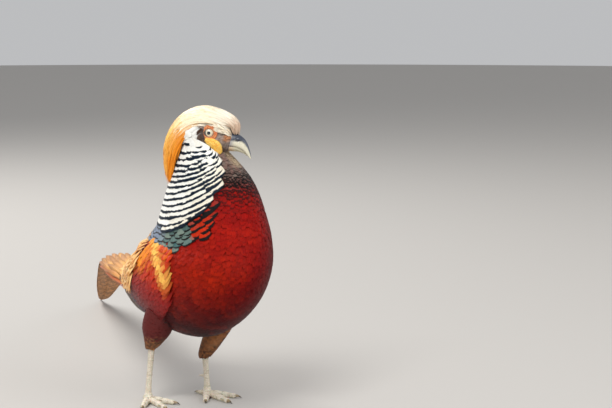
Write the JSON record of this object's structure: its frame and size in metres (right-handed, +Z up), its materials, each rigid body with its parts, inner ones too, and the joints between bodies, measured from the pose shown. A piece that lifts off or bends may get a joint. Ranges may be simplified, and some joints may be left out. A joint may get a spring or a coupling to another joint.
{
  "type": "ruffed cock pheasant, still model",
  "caption": "Still, life-size model of a standing cock pheasant with a silky crest, a layered neck ruff, folded wings and a long tail that rests on the floor.",
  "frame": {"origin": "on the floor under the middle of the whole bird", "axes": "+Z up, the bird faces -Y, its left side towards +X, its tail back towards +Y"},
  "size_m": [0.2566, 0.7419, 0.3292],
  "materials": {
    "face": "short brown feathers and bare skin",
    "crest": "silky golden feathers",
    "ruff": "cream feathers, each with a blue-black bar",
    "breast": "glossy crimson feathers",
    "rump": "golden-yellow feathers",
    "tail_coverts": "coral-red tapered feathers",
    "tail": "long mottled brown feathers",
    "wing": "folded flight feathers with a metallic blue patch",
    "thigh": "rusty brown feathers",
    "bill": "smooth horn, slate above and cream at the edge",
    "eye": "clear, wet, pale iris",
    "wattle": "bare folded yellow skin",
    "leg_scales": "pale horny scales",
    "claw": "smooth horn"
  },
  "bodies": {
    "root": {"head": "face", "crest": "crest", "neck": "breast", "cape": "ruff", "torso": "breast", "rump": "rump", "tail_coverts": "tail_coverts", "tail": "tail", "bill_upper": "bill", "bill_lower": "bill", "eye_right": "eye", "eye_left": "eye", "wattle_right": "wattle", "wattle_left": "wattle", "wing_right": "wing", "wing_left": "wing", "thigh_right": "thigh", "thigh_left": "thigh", "shank_right": "leg_scales", "shank_left": "leg_scales", "foot_right": "leg_scales", "foot_left": "leg_scales", "claw_middle_right": "claw", "claw_inner_right": "claw", "claw_outer_right": "claw", "claw_hind_right": "claw", "claw_middle_left": "claw", "claw_inner_left": "claw", "claw_outer_left": "claw", "claw_hind_left": "claw"}
  },
  "joints": []
}
